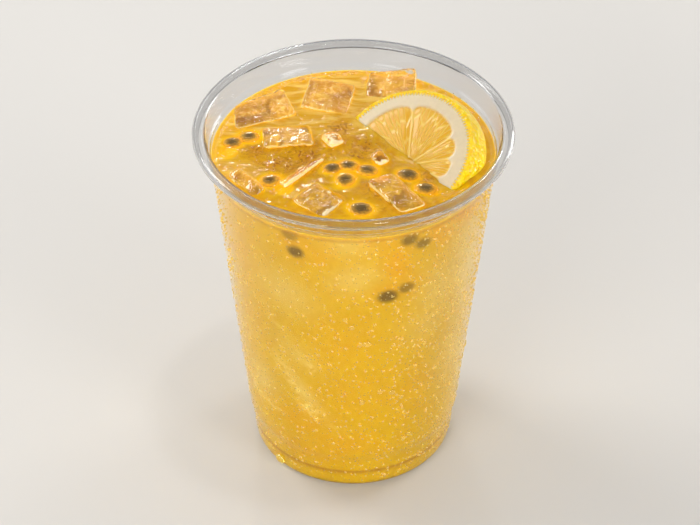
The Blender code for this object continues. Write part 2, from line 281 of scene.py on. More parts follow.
def clear_pet():
    """Clear PET, thermoformed: glassy and colourless, with its mist of tiny beads as bump."""
    mat, shader = material("clear_pet_thermoformed", Roughness=0.02, IOR=1.34, Transmission_Weight=1.0)
    beads = add(mat, "ShaderNodeTexVoronoi", {"Vector": object_place(mat), "Scale": scale_for(0.9),
                                              "Smoothness": 0.6}, feature="SMOOTH_F1")
    depth = maths(mat, "MULTIPLY", beads.outputs["Distance"], field(mat, "mist"))
    emboss(mat, shader, depth, 0.14, 0.3, dents=True)
    let_lamps_through(mat, shader, "#FBFBFC")
    return mat


def water():
    """Clear water, which takes the drink's colour: the foot's drop and the other large ones."""
    mat, shader = material("condensed_water", Roughness=0.01, IOR=1.333, Transmission_Weight=0.85,
                           Base_Color=linear("#FFEE78"), Coat_Weight=1.0, Coat_Roughness=0.02)
    let_lamps_through(mat, shader, "#FFFFFF")
    return mat


def mist_water():
    """The finest condensation: beads so small that they scatter light and look milky."""
    mat, shader = material("condensed_mist", Roughness=0.06, IOR=1.36, Transmission_Weight=0.6,
                           Base_Color=linear("#FFE488"))
    let_lamps_through(mat, shader, "#FFFFFF")
    return mat


def bubble_film():
    """A bubble: air in a film of drink, so it is clear but for its bright reflections."""
    mat, shader = material("bubble_film", Roughness=0.02, IOR=1.3, Transmission_Weight=1.0,
                           Base_Color=linear("#FFF4D8"), Coat_Weight=1.0, Coat_IOR=1.7, Coat_Roughness=0.02)
    let_lamps_through(mat, shader, "#FFFFFF")
    return mat


def cloudy_lemonade():
    """Lemonade with passion fruit: a cloudy golden liquid that light soaks into."""
    mat, shader = material("lemonade_cloudy", IOR=1.28, Subsurface_Weight=1.0,
                           Subsurface_Scale=1.4 * MM, Subsurface_Radius=(1.0, 0.92, 0.5))
    place = object_place(mat)
    surface, paler, pulp = [field(mat, name) for name in ("surface", "paler", "pulp")]

    # The top: amber liquid, pale streaks combed over the back of it, shreds of pulp, and gel
    amber = span(mat, noise(mat, place, 7, 3.0, 1.6), 0.35, 0.65)
    liquid = blend(mat, amber, "#C88E00", "#D8A604")
    slanted = add(mat, "ShaderNodeMapping", {"Vector": place, "Rotation": (0, 0, math.radians(-14)),
                                             "Scale": (0.22, 1.0, 1.0)}).outputs[0]
    combed = span(mat, noise(mat, slanted, 2.2, 2.0, 0.5), 0.4, 0.66)
    streaked = blend(mat, paler, liquid, blend(mat, combed, "#D09A18", "#E6BE5C"))
    thread = span(mat, noise(mat, place, 2.4, 3.0, 2.5), 0.52, 0.64)
    shreds = maths(mat, "MULTIPLY", thread, pulp)
    pulpy = blend(mat, maths(mat, "MULTIPLY", pulp, 0.45), streaked, "#B87404")
    shredded = blend(mat, shreds, pulpy, "#985A08")
    top = blend(mat, field(mat, "gel"), shredded, "#E8B600")

    # The side, and what shows through the ice: pocket floors lightened as painted light against the shade
    # in the pockets, with painted lines of light bent by the ice
    side = blend(mat, noise(mat, place, 15, 4.0, 0.8, 0.55), "#DCB000", "#E6BE06")
    base = blend(mat, surface, side, top)
    from_middle = maths(mat, "SUBTRACT", noise(mat, place, 4.5, 2.5, 2.0), 0.5)
    # Painted light: thin lines like light bent through the ice
    painted_caustics = span(mat, maths(mat, "ABSOLUTE", from_middle), 0.0, 0.06, 1.0, 0.0)
    through = blend(mat, paler, blend(mat, painted_caustics, "#BE9000", "#DEB62C"),
                    blend(mat, painted_caustics, "#CE9A2A", "#EAC860"))
    colour = blend(mat, field(mat, "under_ice"), base, through)

    # Stains, painted shade in the groove over the skirt and on the top's edge at the wall, and painted
    # glints
    tints = {"pale": "#ECD070", "orange": "#E8B200", "dark": "#4E3604", "shade": "#B0741C"}
    for name, tint in tints.items():
        colour = blend(mat, field(mat, name), colour, tint)
    # Painted glints: broken spots of painted highlight where the glow field is painted
    broken = span(mat, noise(mat, place, 2.6, 3.0, 1.0), 0.38, 0.66)
    glint = maths(mat, "MULTIPLY", broken, field(mat, "glow"))
    feed(mat, shader, "Base Color", blend(mat, glint, colour, "#FFE47E"))
    feed(mat, shader, "Roughness", span(mat, surface, 0.0, 1.0, 0.6, 0.05))
    rough_top = maths(mat, "ADD", shreds, maths(mat, "MULTIPLY", combed, paler))
    ripple = noise(mat, place, 3.8, 1.5)
    emboss(mat, shader, maths(mat, "MULTIPLY_ADD", rough_top, 0.5, ripple), 0.6, 0.8)
    return mat


def melting_ice():
    """Ice from a machine, partly melted: clear and wet, with a wavy surface."""
    mat, shader = material("ice_melting", Roughness=0.02, IOR=1.31, Transmission_Weight=1.0,
                           Base_Color=linear("#FFFEF8"), Coat_Weight=0.8, Coat_IOR=1.6,
                           Coat_Roughness=0.02)
    emboss(mat, shader, noise(mat, object_place(mat), 2.6, 1.5, 1.0), 0.9, 0.8)
    let_lamps_through(mat, shader, "#FFFCF2")
    return mat


def white_ice_skin(name, transmission, colour):
    """Rough skins on the ice out of the drink that scatter light white: frosted broken faces with a painted
    highlight, and painted edge highlights.
    """
    mat, shader = material(name, Roughness=0.22, IOR=1.31, Transmission_Weight=transmission,
                           Base_Color=linear(colour))
    emboss(mat, shader, noise(mat, object_place(mat), 1.2, 3.0), 0.35, 0.5)
    let_lamps_through(mat, shader, "#FFFCF2")
    return mat


def fruit_gel():
    """The sac round a passion fruit seed: a cloudy orange-yellow gel under a wet skin."""
    mat, shader = material("passion_fruit_sac", Roughness=0.12, IOR=1.06, Transmission_Weight=1.0,
                           Base_Color=linear("#FFEFA8"), Coat_Weight=0.35, Coat_Roughness=0.03)
    let_lamps_through(mat, shader, "#FFE69C")
    return mat


def seed_coat():
    """A passion fruit seed in its sac: dark olive, paler and fuzzy outwards, then lost in the gel."""
    mat, shader = material("passion_fruit_seed", Roughness=0.5, Subsurface_Weight=0.6,
                           Subsurface_Scale=0.5 * MM, Subsurface_Radius=(1.0, 0.9, 0.5))
    pits = noise(mat, object_place(mat), 0.7, 2.0)
    outwards = maths(mat, "MULTIPLY_ADD", pits, 0.7, field(mat, "rim"))
    olive = blend(mat, span(mat, outwards, 0.7, 1.2), "#3C2608", "#927224")
    feed(mat, shader, "Base Color", blend(mat, span(mat, outwards, 1.1, 1.38), olive, "#DCA60E"))
    return mat


def cut_lemon():
    """Cut lemon: oily zest, dry pale pith, and wet pulp in long juice cells."""
    mat, shader = material("lemon_cut_fruit", Roughness=0.28, IOR=1.42, Subsurface_Weight=1.0,
                           Subsurface_Scale=0.6 * MM, Subsurface_Radius=(1.0, 0.8, 0.35))
    place = object_place(mat)
    pulp = field(mat, "pulp")
    layout = add(mat, "ShaderNodeUVMap", uv_map="cells").outputs[0]
    cells = add(mat, "ShaderNodeTexVoronoi", {"Vector": layout, "Scale": 1.0, "Randomness": 0.9},
                feature="DISTANCE_TO_EDGE", voronoi_dimensions="2D")
    skin = span(mat, cells.outputs["Distance"], 0.0, 0.16)
    juice = blend(mat, skin, "#E6C45C", "#DCA820")
    pith = blend(mat, noise(mat, place, 1.5, 3.0), "#CDBB96", "#DCCBA8")
    white = blend(mat, field(mat, "pith_ring"), "#EBCB70", pith)
    flesh = blend(mat, pulp, white, juice)

    # The zest starts at a row of teeth, one for each oil gland that the knife went through
    turn_and_radius = add(mat, "ShaderNodeUVMap", uv_map="turn_and_radius").outputs[0]
    polar = add(mat, "ShaderNodeSeparateXYZ", {0: turn_and_radius})
    teeth = maths(mat, "SINE", maths(mat, "MULTIPLY", polar.outputs["X"], OIL_GLANDS))
    scallop = maths(mat, "MULTIPLY_ADD", teeth, TOOTH_DEPTH, polar.outputs["Y"])
    zest = span(mat, scallop, ZEST_RADIUS - 0.2, ZEST_RADIUS + 0.2)
    rind = add(mat, "ShaderNodeTexVoronoi", {"Vector": place, "Scale": scale_for(1.5)})
    glands = rind.outputs["Distance"]
    feed(mat, shader, "Base Color", blend(mat, zest, flesh, blend(mat, glands, "#FFC400", "#FFDA10")))
    plump = maths(mat, "MULTIPLY", maths(mat, "MULTIPLY", skin, 0.13), pulp)
    pores = maths(mat, "MULTIPLY", glands, zest)
    emboss(mat, shader, maths(mat, "ADD", plump, pores), 1.0, 0.9)
    return mat


def floor_finish():
    """A pale matt table top."""
    return material("floor_pale_matt", Roughness=0.55, Base_Color=linear("#D0CCC5"))[0]


def select_only(*objects):
    """Select these objects alone, with the first one active."""
    bpy.ops.object.select_all(action="DESELECT")
    for obj in objects:
        obj.select_set(True)
    bpy.context.view_layer.objects.active = objects[0]


def edit(obj, work):
    """Run work in edit mode with everything in the object selected."""
    select_only(obj)
    bpy.ops.object.mode_set(mode="EDIT")
    bpy.ops.mesh.select_all(action="SELECT")
    work()
    bpy.ops.object.mode_set(mode="OBJECT")


def lathe(name, profile, steps):
    """Extrude a point along a profile of (radius, height) and spin it about Z."""
    bpy.ops.mesh.primitive_plane_add(size=MM, location=(0, 0, 0))
    obj = bpy.context.object
    obj.name = obj.data.name = name

    def work():
        bpy.ops.mesh.merge(type="CENTER")
        bpy.ops.transform.translate(value=(profile[0][0], 0, profile[0][1]))
        for (r0, z0), (r1, z1) in zip(profile, profile[1:]):
            bpy.ops.mesh.extrude_region_move(TRANSFORM_OT_translate={"value": (r1 - r0, 0, z1 - z0)})
        bpy.ops.mesh.select_all(action="SELECT")
        bpy.ops.mesh.spin(steps=steps, angle=math.tau, center=(0, 0, 0), axis=(0, 0, 1))
        bpy.ops.mesh.select_all(action="SELECT")
        bpy.ops.mesh.remove_doubles(threshold=WELD)
    edit(obj, work)
    return obj


def finish_piece(obj, mat, slot, *nodes):
    """Normals out, smooth, material on, and its place in the frame."""
    edit(obj, lambda: bpy.ops.mesh.normals_make_consistent(inside=False))
    bpy.ops.object.shade_smooth()
    obj.data.materials.clear()
    obj.data.materials.append(mat)
    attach(obj, "root")
    if nodes:
        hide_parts(*nodes)
    return obj


def apply_modifiers(obj):
    """Apply all of an object's modifiers, in their order."""
    select_only(obj)
    for modifier in list(obj.modifiers):
        bpy.ops.object.modifier_apply(modifier=modifier.name)


def own_copy(obj, name):
    """A copy with its own mesh and none of the first one's marks."""
    new = obj.copy()
    new.data = obj.data.copy()
    for key in list(new.keys()):
        del new[key]
    new.parent = None
    new.name = new.data.name = name
    bpy.context.scene.collection.objects.link(new)
    return new


def points_of(obj):
    """The places of an object's vertices, one row each."""
    co = np.empty(len(obj.data.vertices) * 3)
    obj.data.vertices.foreach_get("co", co)
    return co.reshape(-1, 3)


def move_points(obj, co):
    """Put an object's vertices at these places."""
    obj.data.vertices.foreach_set("co", co.ravel())
    obj.data.update()


def paint(obj, name, values):
    """Keep a value from 0 to 1 for each vertex, for the material to read."""
    layer = obj.data.attributes.new(name, "FLOAT", "POINT")
    layer.data.foreach_set("value", np.clip(values, 0, 1).astype(np.float32))


def wall_outside(z):
    """Radius of the outside of the wall at a height, for one height or an array."""
    heights = [s[0] * MM for s in WALL_STATIONS]
    radii = [s[1] * MM for s in WALL_STATIONS]
    return np.interp(z, heights, radii)


def floor_top(inset):
    """Upper face of the floor and the foot's trough, from the axis out."""
    return [
        (0.0, FLOOR_UNDERSIDE + FLOOR_CROWN + SHEET + inset),
        (FLOOR_EDGE * 0.55, FLOOR_UNDERSIDE + FLOOR_CROWN * 0.7 + SHEET + inset),
        (FLOOR_EDGE, FLOOR_UNDERSIDE + SHEET + inset),
        (FLOOR_EDGE + 0.9 * MM, FLOOR_UNDERSIDE + inset),
        (FOOT_INNER - 0.4 * MM + inset, FLOOR_UNDERSIDE * 0.72 + inset),
        (FOOT_INNER + SHEET + inset, SHEET + inset),
        (FOOT_OUTER - SHEET - inset, SHEET + inset),
    ]


def oval(middle, half_width, half_height, start, end, steps):
    """Points on part of an oval, from one angle to another in degrees."""
    points = []
    for i in range(steps + 1):
        a = math.radians(start + (end - start) * i / steps)
        points.append((middle[0] + half_width * math.cos(a), middle[1] + half_height * math.sin(a)))
    return points


def make_cup(mat):
    """The formed sheet: foot ring, pushed-up floor, wall, step ring, band and open rolled lip."""
    underside = [
        (0.0, FLOOR_UNDERSIDE + FLOOR_CROWN),
        (FLOOR_EDGE * 0.55, FLOOR_UNDERSIDE + FLOOR_CROWN * 0.7),
        (FLOOR_EDGE - SHEET, FLOOR_UNDERSIDE),
        (FOOT_INNER - 1.5 * MM, FLOOR_UNDERSIDE - 0.4 * MM),
        (FOOT_INNER - 2.2 * SHEET, FLOOR_UNDERSIDE * 0.72 - SHEET),
        (FOOT_INNER - 0.15 * MM, 0.25 * MM),
        (FOOT_INNER + 0.25 * MM, 0.0),
        (FOOT_OUTER - 0.5 * MM, 0.0),
        (FOOT_OUTER - 0.05 * MM, 0.12 * MM),
    ]
    outside = [(r * MM, z * MM) for z, r in WALL_STATIONS]
    middle = (LIP_RADIUS - ROLL_HALF_WIDTH, CUP_HEIGHT - ROLL_HALF_HEIGHT)
    over = oval(middle, ROLL_HALF_WIDTH - SHEET, ROLL_HALF_HEIGHT - SHEET, 180, -90, 18)
    under = oval(middle, ROLL_HALF_WIDTH, ROLL_HALF_HEIGHT, -90, 180, 27)
    inside = [(r * MM - SHEET, z * MM) for z, r in reversed(WALL_STATIONS[1:])]
    cup = lathe("cup_formed_sheet", underside + outside + over + under + inside + floor_top(0.0)[::-1],
                CUP_SIDES)
    co = points_of(cup)
    outer = np.hypot(co[:, 0], co[:, 1]) > wall_outside(co[:, 2]) - 0.1 * MM
    on_wall = outer & (co[:, 2] > 1.0 * MM) & (co[:, 2] < 111.9 * MM)
    paint(cup, "mist", on_wall.astype(float))
    return finish_piece(cup, mat, "clear_plastic", "cup")


def soft_oval(co, angle, height, half_width, half_height, lean):
    """How near each point on the side of the drink is to a soft oval: a stain, a sunk seed, or a painted
    highlight.
    """
    around = np.arctan2(co[:, 0], -co[:, 1]) - math.radians(angle)
    around = (around + np.pi) % (2 * np.pi) - np.pi
    s = around * wall_outside(height * MM) / MM
    t = co[:, 2] / MM - height
    turn = math.radians(lean)
    u = (s * math.cos(turn) + t * math.sin(turn)) / half_width
    v = (t * math.cos(turn) - s * math.sin(turn)) / half_height
    return np.exp(-(u ** 2 + v ** 2))


def strongest_oval(co, stains):
    """The strongest of a list of soft ovals at each point: stains and painted highlights alike."""
    result = np.zeros(len(co))
    for *oval_shape, strength in stains:
        result = np.maximum(result, strength * soft_oval(co, *oval_shape))
    return result


def surface_waves(x, y):
    """Ripples of the drink's top, in millimetres like the places."""
    slow = 0.2 * np.sin(x / 3.1 + 0.7 + 1.3 * np.sin(y / 6.0)) * np.cos(y / 3.9 - 0.4)
    quick = 0.09 * np.sin(x / 1.3 + y / 2.3 + np.sin(y / 2.0)) * np.cos(y / 1.5 - x / 4.0)
    return slow + quick


def slice_directions(x, y):
    """Distances from the slice's middle, in millimetres: along its cut edge and across it."""
    c, s = math.cos(LEMON_TURN), math.sin(LEMON_TURN)
    dx, dy = x - LEMON_MIDDLE.x / MM, y - LEMON_MIDDLE.y / MM
    return dx * c + dy * s, dy * c - dx * s


def hollow_by_slice(along, across):
    """How far the liquid dips beside the slice, to meet the lower part of its cut edge."""
    cut_height = LEMON_MIDDLE.z / MM - along * math.sin(LEMON_DIP) + 0.2
    beside = np.where(across < 0, np.exp(-(across / 4.5) ** 2), np.clip(1 - (across - 3) / 4, 0, 1))
    beside *= np.clip((25.5 - np.abs(along)) / 3, 0, 1)
    return 0.7 * np.maximum(LEVEL / MM - cut_height, 0) * beside * MM


def inside_depth(tree, point):
    """How far inside a closed solid a point is, or less than zero outside it."""
    hit, normal, _, distance = tree.find_nearest(point)
    return distance if (hit - point).dot(normal) > 0 else -distance


def depth_in_ice(co, on_top):
    """How far inside a block of ice each point of the top is, or less than zero outside."""
    depths = np.full(len(co), -9.0 * MM)
    top_index = np.nonzero(on_top)[0]
    x, y = co[top_index, 0], co[top_index, 1]
    for name in ICE_NODES:
        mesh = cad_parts[name].data
        tree = BVHTree.FromPolygons([v.co for v in mesh.vertices], [p.vertices for p in mesh.polygons])
        low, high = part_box(name)
        near = (x > low.x - ICE_REACH) & (x < high.x + ICE_REACH)
        near &= (y > low.y - ICE_REACH) & (y < high.y + ICE_REACH)
        for i in top_index[near]:
            depth = inside_depth(tree, Vector((co[i, 0], co[i, 1], LEVEL - 0.8 * MM)))
            depths[i] = max(depths[i], depth)
    return depths


def pocket_facets(x, y):
    """Slanted planes, in millimetres, that break up the floors of the pockets under the ice."""
    rng = random.Random(3)
    facets = np.full(len(x), 9.0)
    for _ in range(FACET_COUNT):
        fx, fy = rng.uniform(-42, 42), rng.uniform(-42, 46)
        slope, way = rng.uniform(0.25, 0.6), rng.uniform(0, math.tau)
        plane = slope * ((x - fx) * math.cos(way) + (y - fy) * math.sin(way))
        close = np.hypot(x - fx, y - fy) < 9
        facets = np.where(close, np.minimum(facets, plane), facets)
    return np.clip(facets, -1.3, 1.0)


def gel_by_sacs(x, y):
    """How much each place on the top is gel, in and round the sacs."""
    gel = np.zeros(len(x))
    for sac_x, sac_y, degrees, half in SEEDS + PLAIN_SACS:
        c, s = math.cos(math.radians(degrees)), math.sin(math.radians(degrees))
        u = ((x - sac_x) * c + (y - sac_y) * s) / (half * 1.3)
        v = ((y - sac_y) * c - (x - sac_x) * s) / (half * 1.05)
        gel = np.maximum(gel, np.clip((1.25 - np.hypot(u, v)) / 0.45, 0, 1))
    return gel


def make_drink(mat):
    """One body up to its level: rippled top with pockets that hold the ice, stained sides, painted shade
    and painted light.
    """
    inset = SHEET - INTO_WALL
    side_heights = list(np.arange(1.6 * MM, LEVEL, WALL_ROW)) + [LEVEL]
    side = [(wall_outside(z) - inset, z) for z in side_heights]
    top_radius = side[-1][0]
    top_radii = np.arange(top_radius - TOP_ROW, TOP_ROW * 0.5, -TOP_ROW)
    top = [(r, LEVEL) for r in top_radii] + [(0.0, LEVEL)]
    drink = lathe("lemonade", floor_top(-INTO_WALL) + side + top, DRINK_SIDES)
    co = points_of(drink)
    x, y = co[:, 0] / MM, co[:, 1] / MM
    on_top = co[:, 2] > LEVEL - 0.01 * MM
    from_wall = top_radius - np.hypot(co[:, 0], co[:, 1])
    along, across = slice_directions(x, y)
    by_slice = np.abs(along) < 23

    # The top's relief: ripples, the edge at the wall, pockets, gel and the hollow by the slice
    rise = surface_waves(x, y) * MM * np.clip(from_wall / (3 * MM), 0, 1)
    rise += MENISCUS * np.exp(-from_wall / MENISCUS_REACH)
    co[on_top, 2] += rise[on_top]
    depths = depth_in_ice(co, on_top)
    share = np.clip((depths - 0.25 * MM) / (1.0 * MM), 0, 1)
    co[:, 2] -= (POCKET_DEPTH + pocket_facets(x, y) * MM) * share * share * (3 - 2 * share)
    climb = CLIMB * np.exp(np.minimum(depths, 0) / (0.7 * MM)) * (1 - share)
    co[on_top, 2] += climb[on_top]
    juice = 0.15 * np.exp(-((across + 0.5) / 1.8) ** 2) * by_slice
    gel = np.maximum(gel_by_sacs(x, y), juice) * on_top
    levelled = co[:, 2] * (1 - 0.8 * gel) + LEVEL * 0.8 * gel - hollow_by_slice(along, across)
    co[:, 2] = np.where(on_top, levelled, co[:, 2])
    move_points(drink, co)

    # What the material reads
    height = co[:, 2] / MM
    dark = np.zeros(len(co))
    for angle, middle, half, strength in SUNK_SEEDS:
        near = soft_oval(co, angle, middle, half, half * 0.8, 0)
        dark = np.maximum(dark, strength * np.clip((near - 0.25) / 0.4, 0, 1))
    pulp = np.zeros(len(co))
    for pulp_x, pulp_y, reach in PULP_SPOTS:
        pulp = np.maximum(pulp, np.exp(-(np.hypot(x - pulp_x, y - pulp_y) / reach) ** 2))
    left_streaks = 0.7 * np.exp(-(np.hypot(x + 36, y + 10) / 7) ** 2)
    # Painted shade: on the top's edge at the wall, and on a band round the side just over the floor
    edge = np.exp(-(from_wall / (1.5 * MM)) ** 2) * (co[:, 2] > LEVEL - 1.3 * MM)
    skirt = np.exp(-((height - 6.4) / 0.7) ** 2) * ~on_top
    # Painted light along the slice's cut edge, to lift the shade from under the slice
    painted_light_by_slice = 0.15 * np.exp(-((across + 0.6) / 1.3) ** 2) * by_slice
    fields = {
        "orange": strongest_oval(co, ORANGE_STAINS) * ~on_top,
        "pale": strongest_oval(co, PALE_STAINS) * ~on_top,
        "dark": dark * ~on_top,
        # Painted light: highlights of ice seen through the side, and light along the slice's cut edge
        "glow": np.where(on_top, painted_light_by_slice, strongest_oval(co, PAINTED_ICE_HIGHLIGHTS)),
        "shade": np.maximum(0.75 * skirt, 0.4 * edge),
        "surface": on_top * np.clip((from_wall / MM - 0.5) / 2.0, 0, 1),
        "paler": np.maximum(np.clip((y - 7.0 - 0.25 * x) / 12.0, 0, 1), left_streaks),
        "pulp": pulp * on_top,
        "under_ice": share,
        "gel": gel,
    }
    for name, values in fields.items():
        paint(drink, name, values)
    return finish_piece(drink, mat, "lemonade", "drink")


def make_ice(mat, frost_highlight_finish, edge):
    """Each block starts from its solid, then melts: remeshed, rounded and made wavy."""
    waves = bpy.data.textures.new("melt_waves", "CLOUDS")
    waves.noise_scale = 3.4 * MM
    facets, edges = [], []
    for name in sorted(ICE_NODES):
        block = own_copy(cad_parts[name], name.replace("ice_", "ice_block_"))
        block.hide_render = block.hide_viewport = False
        edit(block, lambda: bpy.ops.mesh.remove_doubles(threshold=WELD))
        remesh = block.modifiers.new("Even faces", "REMESH")
        remesh.mode = "VOXEL"
        remesh.voxel_size = 0.45 * MM
        melt = block.modifiers.new("Melted", "DISPLACE")
        melt.texture = waves
        melt.texture_coords = "GLOBAL"
        melt.strength = 0.9 * MM
        melt.mid_level = 0.5
        smooth = block.modifiers.new("Rounded", "SMOOTH")
        smooth.factor = 0.5
        smooth.iterations = 2
        apply_modifiers(block)
        finish_piece(block, mat, "ice", name)
        # Painted highlights: a pale skin along each block's top edges, and a frosty one with a painted
        # highlight over faces towards the light
        edges.append(skin_of(block, on_edge))
        if name in FROST_AND_HIGHLIGHT_FACES:
            facets.append(skin_of(block, faces_towards(*FROST_AND_HIGHLIGHT_FACES[name])))
    for name, skins, finish in (("ice_frosted_faces", facets, frost_highlight_finish), ("ice_bright_edges", edges, edge)):
        select_only(*skins)
        bpy.ops.object.join()
        skins[0].name = skins[0].data.name = name
        finish_piece(skins[0], finish, "ice")


def on_edge(face):
    """Whether a face is on the rounded edge round a block's top, out of the drink."""
    return face.calc_center_median().z > LEVEL + 0.4 * MM and 0.35 < face.normal.z < 0.64


def faces_towards(facing, low_share, lowest):
    """A test for faces that rise from the drink, over a height, towards one side."""
    turn = math.radians(facing)
    towards = Vector((math.sin(turn), -math.cos(turn), 0))

    def chosen(face):
        return (face.calc_center_median().z >= LEVEL + lowest * MM and face.normal.z >= -0.1
                and face.normal.dot(towards) >= low_share)
    return chosen


def skin_of(block, chosen):
    """A thin closed skin over the faces of a block that pass a test."""
    skin = own_copy(block, block.name + "_skin")
    mesh = bmesh.new()
    mesh.from_mesh(skin.data)
    bmesh.ops.delete(mesh, geom=[f for f in mesh.faces if not chosen(f)], context="FACES")
    for vert in [v for v in mesh.verts if sum(e.is_boundary for e in v.link_edges) > 2]:
        bmesh.utils.vert_separate(vert, [e for e in vert.link_edges if e.is_boundary])
    mesh.to_mesh(skin.data)
    mesh.free()
    solid = skin.modifiers.new("Thickness", "SOLIDIFY")
    solid.thickness = 0.14 * MM
    solid.offset = 0.0
    apply_modifiers(skin)
    return skin


def scatter(name, template, places, mat, slot, crease=180):
    """Join copies of a small closed shape, each with its own size, turn and place."""
    base = points_of(template)
    faces = np.array([p.vertices[:] for p in template.data.polygons])
    co = np.concatenate([base @ turn.T + place for turn, place in places])
    first_points = np.arange(len(places)) * len(base)
    all_faces = (faces[None] + first_points[:, None, None]).reshape(-1, 3)
    mesh = bpy.data.meshes.new(name)
    mesh.from_pydata(co.tolist(), [], all_faces.tolist())
    obj = bpy.data.objects.new(name, mesh)
    bpy.context.scene.collection.objects.link(obj)
    finish_piece(obj, mat, slot)
    bpy.ops.object.shade_smooth_by_angle(angle=math.radians(crease))
    return obj


def ball_template(rings):
    """A ball of radius 1 to scatter, finer for more rings."""
    bpy.ops.mesh.primitive_ico_sphere_add(subdivisions=rings, radius=1.0, location=(0, 0, 0))
    return bpy.context.object


def drop_template(rings):
    """A drop on a wall: the front half of a ball, closed by a flat back."""
    drop = ball_template(rings)
    edit(drop, lambda: bpy.ops.mesh.bisect(plane_co=(0, 0, 0.001), plane_no=(0, 0, 1), use_fill=True,
                                           clear_inner=True))
    edit(drop, lambda: bpy.ops.mesh.quads_convert_to_tris())
    return drop


def wall_drop(angle, z, radius, stretch, proud):
    """Where a drop sits on the outside of the wall: its own axes, scaled, and its middle."""
    slope = math.atan2(wall_outside(z + MM) - wall_outside(z - MM), 2 * MM)
    a = math.radians(angle)
    out = np.array([math.sin(a) * math.cos(slope), -math.cos(a) * math.cos(slope), -math.sin(slope)])
    around = np.array([math.cos(a), math.sin(a), 0.0])
    up = np.cross(out, around)
    turn = np.stack([around * radius, up * radius * stretch, out * radius * proud], 1)
    r = wall_outside(z) - 0.03 * MM
    place = np.array([math.sin(a) * r, -math.cos(a) * r, z])
    return turn, place


def scattered_drops(rng, count, heights, thin, thickest, sizes, stretches=None):
    """Drops at random on the wall, most at the thickest angle, with a thin share of that elsewhere."""
    drops = []
    while len(drops) < count:
        angle = rng.uniform(-180, 180)
        z = rng.uniform(*heights) * MM
        misty = thin + (1 - thin) * math.exp(-((angle - thickest) / 40) ** 2)
        if rng.random() < misty:
            radius = rng.triangular(*sizes) * MM
            stretch = rng.uniform(*stretches) if stretches else 1.0
            drops.append(wall_drop(angle, z, radius, stretch, 0.5))
    return drops


def make_condensation(mat, mist):
    """Water that has gathered on the cold cup: fine beads, drops and a few large ones."""
    rng = random.Random(11)
    bead, drop, large = drop_template(1), drop_template(2), drop_template(4)
    beads = scattered_drops(rng, BEAD_COUNT, (2.5, 111.0), 0.5, 55, BEAD_SIZES)
    drops = scattered_drops(rng, DROP_COUNT, (3, 110), 0.35, 50, DROP_SIZES, (0.9, 1.2))
    big = [wall_drop(angle, z * MM, half * MM, stretch, 0.6) for angle, z, half, stretch in LARGE_DROPS]
    scatter("mist_beads", bead, beads, mist, "clear_plastic", 50)
    scatter("small_drops", drop, drops, mist, "clear_plastic", 50)
    scatter("large_drops", large, big, mat, "clear_plastic", 40)
    for template in (bead, drop, large):
        bpy.data.objects.remove(template)


def make_seeds(gel, coat):
    """Sacs that float at the surface, most with a dark seed inside."""
    sac, seed = ball_template(4), ball_template(3)
    co = points_of(sac)
    co[:, 0] += 0.18 * (1 - co[:, 0] ** 2) * np.sign(co[:, 2])
    move_points(sac, co)
    sacs, seeds = [], []
    for x, y, degrees, half in SEEDS + PLAIN_SACS:
        c, s = math.cos(math.radians(degrees)), math.sin(math.radians(degrees))
        turn = np.array([[c, -s, 0], [s, c, 0], [0, 0, 1]])
        size = np.diag([half * 1.15 * MM, half * 0.95 * MM, half * 0.34 * MM])
        sacs.append((turn @ size, np.array([x * MM, y * MM, LEVEL - 0.35 * MM])))
        if len(seeds) < len(SEEDS):
            seed_size = np.diag([half * 0.88 * MM, half * 0.78 * MM, 0.6 * MM])
            seeds.append((turn @ seed_size, np.array([x * MM, y * MM, LEVEL - 0.08 * MM])))
    scatter("seed_sacs", sac, sacs, gel, "lemonade")
    obj = scatter("seeds", seed, seeds, coat, "lemonade")
    rng = random.Random(17)
    rims = np.hypot(*points_of(seed)[:, :2].T)
    paint(obj, "rim", np.concatenate([rims + rng.uniform(-0.05, 0.2) for _ in SEEDS]))
    for template in (sac, seed):
        bpy.data.objects.remove(template)


def lemon_profile():
    """The whole slice's profile: its face in close rows, its curved zest, and its underside."""
    row = 0.4 * MM
    face = [(0.0, 0.0)] + [(r, 0.0) for r in np.arange(row, LEMON_RADIUS, row)]
    side = []
    for i in range(15):
        share = i / 14
        bulge = LEMON_BULGE * math.sin(math.pi * share)
        radius = LEMON_RADIUS + (LEMON_UNDER_RADIUS - LEMON_RADIUS) * share + bulge
        side.append((radius, -0.25 * MM - (LEMON_THICKNESS - 0.5 * MM) * share))
    under = [(LEMON_UNDER_RADIUS - 0.6 * MM, -LEMON_THICKNESS), (12 * MM, -LEMON_THICKNESS),
             (0.0, -LEMON_THICKNESS)]
    return face + side + under


def inside_segments(radius, angle, reach):
    """How far inside a segment of pulp each point is; corners are rounder farther out."""
    inside = np.full(len(radius), -9.0)
    softness = 0.4 + 0.9 * np.clip((radius - 9) / 8, 0, 1)
    to_pith = PITH_RADIUS + 0.4 - radius
    for high, low in zip(MEMBRANES, MEMBRANES[1:]):
        to_high = reach * np.sin(np.clip(high - angle, -1.5, 1.5)) - MEMBRANE_HALF
        to_low = reach * np.sin(np.clip(angle - low, -1.5, 1.5)) - MEMBRANE_HALF
        smallest = -softness * np.log(np.exp(-to_high / softness) + np.exp(-to_low / softness)
                                      + np.exp(-to_pith / softness))
        inside = np.maximum(inside, smallest)
    return inside


def lay_out(obj, name, u, v):
    """Keep two values for each vertex as a UV map."""
    loops = np.empty(len(obj.data.loops), int)
    obj.data.loops.foreach_get("vertex_index", loops)
    layer = obj.data.uv_layers.new(name=name)
    layer.data.foreach_set("uv", np.stack([u[loops], v[loops]], 1).ravel())


